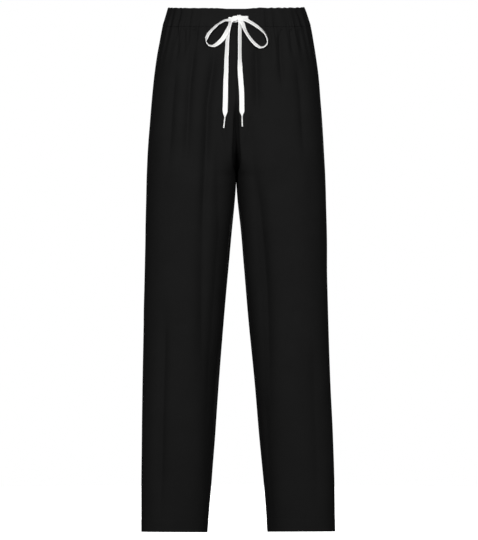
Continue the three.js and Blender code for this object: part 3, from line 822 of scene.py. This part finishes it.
def lace_cord(name, route):
    """One end of the drawstring, from its buttonhole through the bow to its tip."""
    places, turns, along = lace_line(route, LACE_STEP)
    normals = front_facing(places[:, 0], places[:, 2])
    tangents = unit(np.gradient(places, axis=0))
    upright = 1 - smooth(0.003, 0.009, along)[:, None]
    level = unit(np.cross(np.array([0, 0, 1.0]) - 0.12 * np.array([0, 1.0, 0]), tangents))
    level = level * np.sign((level * normals).sum(axis=1, keepdims=True) + 1e-9)
    normals = unit(normals * (1 - upright) + level * upright)
    normals = squared(normals, tangents)
    normals = turned(normals, tangents, turns)
    left = along[-1] - along
    taper = smooth(0, 0.012, left)
    widths = TIP_RADIUS * 1.7 + (LACE_WIDTH - TIP_RADIUS * 1.7) * taper
    thicks = TIP_RADIUS * 1.6 + (LACE_THICK - TIP_RADIUS * 1.6) * taper
    piece = lace_piece(name, places, normals, along, widths, thicks)
    return piece


# Rings of a tip from the lace to its end: the share of its length, and of its radius
TIP_PROFILE = [
    (0, 0.35), (0, 0.82), (0.02, 0.95), (0.05, 1), (0.09, 0.97), (0.5, 0.95), (0.9, 0.92),
    (0.95, 0.95), (0.985, 0.93), (1, 0.84), (1, 0.68), (0.985, 0.6), (0.93, 0.56), (0.93, 0.2),
]


def tip_piece(name, tip):
    """A hard lace tip: rolled film with a lap seam, a rounded lip at each end and a hollow end."""
    lift = TIP_RADIUS + 0.0003
    ends = np.array([tip["top"], tip["end"]])
    rows = np.stack([ends[:, 0], front_y(ends[:, 0], ends[:, 1]) - lift, ends[:, 1]], axis=1)
    top, end = rows
    axis = unit(end - top)
    side = unit(np.cross(axis, front_facing(ends[:1, 0], ends[:1, 1])[0]))
    out = np.cross(side, axis)
    length = np.linalg.norm(end - top)
    angles = np.linspace(0, 2 * math.pi, 32, endpoint=False)
    lap = 1 + 0.07 * smooth(0, 1.6, angles) * (1 - smooth(6.0, 6.2, angles))
    rings = []
    for share, radius in TIP_PROFILE:
        across = np.cos(angles)[:, None] * side * 1.04 + np.sin(angles)[:, None] * out * 0.92
        rings.append(top + axis * length * share + across * (radius * TIP_RADIUS * lap)[:, None])
    points = np.array(rings)
    numbers = np.arange(points.shape[0] * len(angles)).reshape(-1, len(angles))
    faces = np.concatenate([grid_faces(closed_grid(numbers))] + end_caps(numbers))
    piece = add_piece(name, points.reshape(-1, 3), faces, film)
    return piece


def knot_piece():
    """The turn of lace that binds the knot, drawn tight and a little slanted."""
    steps = 120
    t = np.linspace(0, 2 * math.pi, steps, endpoint=False)
    s = np.sign(np.sin(t)) * np.abs(np.sin(t)) ** 0.85
    c = np.sign(np.cos(t)) * np.abs(np.cos(t)) ** 0.85
    x = KNOT_X - KNOT_SLANT * s
    z = KNOT_Z + KNOT_HALF_HEIGHT * s
    lift = KNOT_LIFT + KNOT_HALF_DEPTH * c
    places = np.stack([x, front_y(x, z) - lift, z], axis=1)
    normals = np.stack([np.zeros(steps), -np.cos(t), np.sin(t)], axis=1)
    along = distances(places)
    widths = KNOT_WIDTH * (0.9 + 0.1 * np.cos(2 * t + 0.4))
    thicks = np.full(steps, LACE_THICK)
    piece = lace_piece("drawstring_knot_wrap", places, normals, along, widths, thicks, True)
    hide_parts("drawstring_knot")


tip_right = tip_piece("lace_tip_right", RIGHT_TIP)
tip_left = tip_piece("lace_tip_left", LEFT_TIP)
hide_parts("drawstring_tip_right")
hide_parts("drawstring_tip_left")
cord_right = lace_cord("drawstring_from_right", RIGHT_EXIT + RIGHT_LOOP + LEFT_TAIL)
cord_left = lace_cord("drawstring_from_left", LEFT_EXIT + LEFT_LOOP + RIGHT_TAIL)
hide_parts("drawstring_exit_right", "drawstring_loop_right", "drawstring_tail_left")
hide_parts("drawstring_exit_left", "drawstring_loop_left", "drawstring_tail_right")
knot_piece()


# The cloth

def band_crease_at(side, face, x, z):
    """The creases of the waistband at a level."""
    total = np.zeros_like(x)
    for top_x, mid_x, foot_x, depth, width in BAND_CREASES[side, face]:
        middle = np.interp(z, [BAND_FOOT, 0, BAND_TOP], [foot_x, mid_x, top_x])
        total += depth * np.exp(-((x - middle) / width) ** 2)
    return total * smooth(BAND_TOP + 0.002, BAND_TOP - 0.008, z)


def top_edge_at(side, face, share, z):
    """How far the elastic pulls the top edge of the waistband up and down between its gathers."""
    along = np.clip((share - 0.15) / 0.85, 0, 1)
    uneven = along + 0.022 * np.sin(13 * along + side) + 0.012 * np.sin(31 * along - 2 * side)
    wave = 0.5 + 0.5 * np.sin(2 * math.pi * EDGE_WAVES * uneven + face)
    high = EDGE_RISE[side] * (0.5 - 0.5 * face)
    low = EDGE_DIP * (0.5 + 0.5 * face)
    ends = within(0, 0.1, 0.95, 1, along)
    centre = -EDGE_DIP * (1 - smooth(0.09, 0.17, share)) * (0.5 - 0.5 * face)
    return ((high * (0.35 + 0.65 * wave) - low * wave ** 2) * ends + centre) * smooth(0.002, BAND_TOP, z)


def hem_drop_at(side, share, z):
    """How much lower the hem hangs towards the inside of each leg."""
    fall = {RIGHT: 0.0023 - 0.0011 * share, LEFT: 0.0013 - 0.0009 * share}[side]
    return fall * smooth(HEM_Z + 0.09, HEM_Z, z)


def tucks_at(face, share, z):
    """Close small tucks that the elastic draws up, strongest at the waist seam."""
    start = GATHERS[face]["start"]
    along = np.clip((share - start) / (1 - start), 0, 1)
    ends = within(0, 0.1, 0.94, 1, along)
    uneven = along + 0.011 * np.sin(17 * along + face) + 0.007 * np.sin(31 * along)
    size = 0.55 + 0.45 * np.sin(23 * along + 2.1 * face)
    height = np.interp(z, TUCK_LEVELS, TUCK_HEIGHTS)
    return height * size * ends * np.sin(2 * math.pi * TUCK_WAVES * uneven)


def valley_at(face, x, z):
    """The hollow above the fork: narrow and deep at the centre front, soft at the centre back."""
    depth, half_width = VALLEY[face]
    down = within(-0.165, -0.215, -0.276, -0.314, z)
    return -depth * np.exp(-(x / half_width) ** 2) * down


def drift_at(side, face, share, z):
    """The slack of cloth that hangs free: broad and shallow, and never the same twice."""
    key = side * 1.7 + face * 0.9
    down = -z
    free = smooth(0.03, 0.12, down)
    slow = np.sin(9.3 * down + 3.1 * share + key) * np.cos(4.4 * share + 6.1 * down - key)
    mid = np.sin(21 * down - 5.3 * share + 2 * key) * np.cos(8.1 * share + 3.7 * down + key)
    quick = np.sin(47 * down + 9.7 * share - key) * np.sin(15 * share - 11 * down + 2.3 * key)
    return free * (0.0010 * slow + 0.0007 * mid + 0.00025 * quick)


def panel_grid(side, face, levels, share, inset):
    """Points of a panel's outer or inner face: rows from the waist seam to the hem."""
    rows = []
    ends = within(0, 0.06, 0.94, 1, share)
    near_ends = within(0, 0.02, 0.98, 1, share)
    for z in levels:
        x, depth, out_x, out_depth, whole = section(side, face, z, share)
        seam = np.minimum(share, 1 - share) * whole
        dent = -0.0007 * np.exp(-(seam / 0.0016) ** 2)
        puff = 0.00025 * np.exp(-((seam - 0.004) / 0.0022) ** 2)
        turn_up = 0.0003 * smooth(HEM_Z + HEM_TURN_UP + 0.0012, HEM_Z + HEM_TURN_UP - 0.0012, z)
        stitched = -0.0002 * math.exp(-((z - HEM_Z - HEM_TURN_UP) / 0.0014) ** 2)
        raised = (gather_at(face, share, z) + tucks_at(face, share, z)
                  + (fold_at(FOLDS, side, face, x, z) + drift_at(side, face, share, z)) * ends
                  + fold_at(CREASES, side, face, x, z, CREASE_ROUNDNESS) * near_ends
                  + valley_at(face, x, z) + dent + puff + turn_up + stitched)
        raised = raised - inset
        y = face * (depth + out_depth * raised)
        height = lean(z, y) - hem_drop_at(side, share, z)
        rows.append(np.stack([side * (x + out_x * raised), y, height], axis=1))
    return np.array(rows)


def cut_places(grid, levels):
    """Where each point of a grid lies on the flat cloth: how far across it, and its level."""
    wide = np.linalg.norm(np.diff(grid, axis=1), axis=2).cumsum(axis=1)
    wide = np.concatenate([np.zeros((len(grid), 1)), wide], axis=1)
    down = np.broadcast_to(np.array(levels)[:, None], wide.shape)
    return np.stack([wide, down], axis=-1).reshape(-1, 2)


# Levels of the panels: close under the elastic, wider down the leg, close again at the hem
PANEL_LEVELS = np.concatenate([
    np.linspace(BAND_FOOT - 0.0001, -0.130, 76, endpoint=False),
    np.linspace(-0.130, HEM_Z + 0.032, 210, endpoint=False),
    np.linspace(HEM_Z + 0.032, HEM_Z + 0.0006, 24),
])
PANEL_COLUMNS = 130


def panel_piece(name, side, face):
    """One panel, a thin closed sheet from the waist seam to the folded hem."""
    share = np.linspace(0, 1, PANEL_COLUMNS)
    edge = 0.5 * (1 - np.cos(math.pi * share))
    share = 0.65 * share + 0.35 * edge
    outer = panel_grid(side, face, PANEL_LEVELS, share, 0)
    inner = panel_grid(side, face, PANEL_LEVELS, share, CLOTH_THICK)
    fold = panel_grid(side, face, [HEM_Z], share, CLOTH_THICK / 2)
    rows, columns = outer.shape[:2]
    count = rows * columns
    out = np.arange(count).reshape(rows, columns)
    inside = out + count
    lip = np.arange(columns)[None, :] + 2 * count
    faces = np.concatenate([
        grid_faces(out),
        grid_faces(inside[:, ::-1]),
        grid_faces(np.stack([inside[0], out[0]])),
        grid_faces(np.concatenate([out[-1:], lip, inside[-1:]])),
        grid_faces(np.stack([inside[:, 0], out[:, 0]], axis=1)),
        grid_faces(np.stack([out[:, -1], inside[:, -1]], axis=1)),
    ])
    ends = [[out[-1, 0], inside[-1, 0], lip[0, 0]], [inside[-1, -1], out[-1, -1], lip[0, -1]]]
    points = np.concatenate([outer.reshape(-1, 3), inner.reshape(-1, 3), fold.reshape(-1, 3)])
    sheet = cut_places(outer, PANEL_LEVELS)
    uvs = np.concatenate([sheet, sheet, sheet[-columns:]])
    piece = add_piece(name, points, faces, cloth, uvs, ends)
    return piece


for side_name, side in (("left", LEFT), ("right", RIGHT)):
    for face_name, face in (("front", FRONT), ("back", BACK)):
        panel = panel_piece(f"{face_name}_cloth_{side_name}", side, face)
        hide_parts(f"{face_name}_panel_{side_name}")

# Steps of the waistband along a quarter of the waist, up each face, and over its top edge
BAND_COLUMNS = 150
BAND_FACE_STEPS = 22
BAND_EDGE_STEPS = 8


def band_profile():
    """Levels and insets round the band's section, with its edges rounded."""
    middle = (BAND_WALL - BAND_PROUD - BAND_PROUD) / 2
    half = BAND_WALL / 2 - 0.0001
    foot = BAND_FOOT + 0.0009
    top = BAND_TOP - half
    rows = [(z, middle - half) for z in np.linspace(foot, top, BAND_FACE_STEPS)]
    rows += [(top + half * math.sin(a), middle - half * math.cos(a))
             for a in np.linspace(0, math.pi, BAND_EDGE_STEPS + 2)[1:-1]]
    inside = middle + half
    lap = CLOTH_THICK + 0.0002
    rows += [(z, inside) for z in np.linspace(top, foot, BAND_FACE_STEPS)]
    rows += [(BAND_FOOT - WAIST_ALLOWANCE * share, inside) for share in (0.2, 0.6, 0.95)]
    rows += [(BAND_FOOT - WAIST_ALLOWANCE, (inside + lap) / 2)]
    rows += [(BAND_FOOT - WAIST_ALLOWANCE * share, lap) for share in (0.95, 0.6, 0.2, 0.0)]
    rows += [(BAND_FOOT + 0.0001, lap * 0.6), (BAND_FOOT + 0.0003, middle - half + 0.0004)]
    return rows


def band_piece():
    """The waistband: a casing gathered over its elastic, flat at the centre front."""
    quarter = np.arange(BAND_COLUMNS) / BAND_COLUMNS
    rings = []
    for z, inset in band_profile():
        ring = []
        for side, face, share in ((LEFT, FRONT, quarter), (LEFT, BACK, 1 - quarter),
                                  (RIGHT, BACK, quarter), (RIGHT, FRONT, 1 - quarter)):
            x, depth, out_x, out_depth, _ = section(side, face, z, share)
            ends = within(0, 0.02, 0.98, 1, share)
            raised = (BAND_GATHER * gather_at(face, share, z) + tucks_at(face, share, z)
                      + band_crease_at(side, face, x, z) * ends - inset)
            y = face * (depth + out_depth * raised)
            height = lean(z, y) + top_edge_at(side, face, share, z)
            ring.append(np.stack([side * (x + out_x * raised), y, height], axis=1))
        rings.append(np.concatenate(ring))
    points = np.array(rings)
    rows, columns = points.shape[:2]
    numbers = np.arange(rows * columns).reshape(rows, columns)
    faces = grid_faces(closed_grid(numbers, True))
    uvs = cut_places(points, [z for z, _ in band_profile()])
    piece = add_piece("waistband_cloth", points.reshape(-1, 3), faces, cloth, uvs)
    ring = np.concatenate([points, points[:, :1]], axis=1)
    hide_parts("waistband")
    return piece


def cut_buttonhole(band, place):
    """Cuts one upright buttonhole through the band."""
    x, z = place
    face_y = float(front_y(np.array([x]), np.array([z]))[0])
    radius = BUTTONHOLE_WIDTH / 2
    straight = BUTTONHOLE_HEIGHT / 2 - radius
    upper = np.linspace(0, math.pi, 10)
    outline = [(radius * math.cos(a), straight + radius * math.sin(a)) for a in upper]
    outline += [(-radius * math.cos(a), -straight - radius * math.sin(a)) for a in upper]
    count = len(outline)
    points = [(x + u, face_y + offset, z + v) for offset in (-0.006, 0.008) for u, v in outline]
    faces = [list(range(count)), list(range(2 * count - 1, count - 1, -1))]
    faces += [[i, i + count, (i + 1) % count + count, (i + 1) % count] for i in range(count)]
    mesh = bpy.data.meshes.new("cutter")
    mesh.from_pydata(points, [], faces)
    cutter = add_object("cutter", mesh)
    cut = band.modifiers.new("buttonhole", "BOOLEAN")
    cut.operation = "DIFFERENCE"
    cut.solver = "EXACT"
    cut.object = cutter
    solid = band.evaluated_get(bpy.context.evaluated_depsgraph_get())
    band.data = bpy.data.meshes.new_from_object(solid)
    band.modifiers.clear()
    bpy.data.objects.remove(cutter)


STITCH_PITCH = 0.0007


def buttonhole_stitches(name, place):
    """A stadium of close satin stitches round a buttonhole."""
    x, z = place
    radius = BUTTONHOLE_WIDTH / 2 + 0.0006
    straight = BUTTONHOLE_HEIGHT / 2 - BUTTONHOLE_WIDTH / 2
    whole = 4 * straight + 2 * math.pi * radius
    stitches = int(round(whole / STITCH_PITCH))
    steps = stitches * 6
    s = np.linspace(0, whole, steps, endpoint=False)
    arc = math.pi * radius
    angle = np.where(s < arc, s / radius, 0)
    spans = [s < arc, s < arc + 2 * straight, s < 2 * arc + 2 * straight]
    u = np.select(spans,
                  [radius * np.cos(angle), np.full(steps, -radius),
                   -radius * np.cos((s - arc - 2 * straight) / radius)], radius)
    v = np.select(spans,
                  [straight + radius * np.sin(angle), straight - (s - arc),
                   -straight - radius * np.sin((s - arc - 2 * straight) / radius)],
                  -straight + (s - 2 * arc - 2 * straight))
    y = front_y(x + u, z + v) - 0.0001
    places = np.stack([x + u, y, z + v], axis=1)
    tangents = unit(np.roll(places, -1, axis=0) - np.roll(places, 1, axis=0))
    out = front_facing(x + u, z + v)
    sides = np.cross(tangents, out)
    girth = 0.00042 + 0.00012 * np.abs(np.sin(math.pi * s / STITCH_PITCH))
    angles = np.linspace(0, 2 * math.pi, 10, endpoint=False)
    points = (places[:, None, :] + girth[:, None, None]
              * (np.cos(angles)[None, :, None] * sides[:, None, :] * 1.5
                 + np.sin(angles)[None, :, None] * out[:, None, :]))
    numbers = np.arange(steps * len(angles)).reshape(steps, len(angles))
    faces = grid_faces(closed_grid(numbers, True))
    piece = add_piece(name, points.reshape(-1, 3), faces, thread)


band = band_piece()
for name, route in (("buttonhole_stitches_right", RIGHT_EXIT), ("buttonhole_stitches_left", LEFT_EXIT)):
    place = np.array(route[0][:2]) / 1000
    cut_buttonhole(band, place)
    buttonhole_stitches(name, place)


# Floor and light

FLOOR_Z = -1.08
FLOOR_RADIUS = 2.6
FLOOR_GLOW = 0.7
WORLD_FILL = 0.17
LIGHT_SPREAD = 95
LIGHT_SIZE = (0.8, 1.0)
LIGHT_HEIGHT = 0.5
LIGHT_AIM = (0, 0, -0.32)

# Each light's name, place across and along, and power
LIGHTS = [
    ("key_right", -1.3, -3.6, 20.6),
    ("key_left", 1.1, -3.6, 18.6),
    ("back_right", -0.5, 3.8, 18.6),
    ("back_left", 0.5, 3.8, 20.6),
]


def make_floor():
    """A plain pale floor, a little below the hems, that neither lights nor mirrors in the cloth."""
    nodes = Nodes("pale_floor")
    nodes.shade(Base_Color=(0.9, 0.9, 0.9, 1), Roughness=0.9,
                Emission_Color=(1, 1, 1, 1), Emission_Strength=FLOOR_GLOW)
    sides = 96
    angles = [2 * math.pi * i / sides for i in range(sides)]
    points = [(FLOOR_RADIUS * math.cos(a), FLOOR_RADIUS * math.sin(a), FLOOR_Z) for a in angles]
    mesh = bpy.data.meshes.new("floor")
    mesh.from_pydata(points, [], [list(range(sides))])
    mesh.materials.append(nodes.material)
    floor = add_object("floor", mesh)
    floor.visible_diffuse = False
    floor.visible_glossy = False


def make_light(name, x, y, power):
    """A soft rectangular light, turned to the thighs."""
    data = bpy.data.lights.new(name, "AREA")
    data.shape = "RECTANGLE"
    data.size = LIGHT_SIZE[0]
    data.size_y = LIGHT_SIZE[1]
    data.energy = power
    data.spread = math.radians(LIGHT_SPREAD)
    light = add_object(name, data)
    light.location = (x, y, LIGHT_HEIGHT)
    way = np.subtract(LIGHT_AIM, (x, y, LIGHT_HEIGHT))
    flat = math.hypot(way[0], way[1])
    light.rotation_euler = (math.pi / 2 + math.atan2(way[2], flat), 0, math.atan2(-way[0], way[1]))
    light.visible_camera = False


def make_world():
    """White all round to look at, and a weak even fill as light."""
    world = bpy.data.worlds.new("studio")
    world.use_nodes = True
    tree = world.node_tree
    fill = tree.nodes["Background"]
    seen = tree.nodes.new("ShaderNodeBackground")
    for background, strength in ((fill, WORLD_FILL), (seen, 1)):
        background.inputs["Color"].default_value = (1, 1, 1, 1)
        background.inputs["Strength"].default_value = strength
    path = tree.nodes.new("ShaderNodeLightPath")
    mix = tree.nodes.new("ShaderNodeMixShader")
    tree.links.new(path.outputs["Is Camera Ray"], mix.inputs[0])
    tree.links.new(fill.outputs[0], mix.inputs[1])
    tree.links.new(seen.outputs[0], mix.inputs[2])
    tree.links.new(mix.outputs[0], tree.nodes["World Output"].inputs["Surface"])
    bpy.context.scene.world = world


make_floor()
for name, x, y, power in LIGHTS:
    make_light(name, x, y, power)
make_world()
bpy.context.scene.view_settings.view_transform = "Standard"
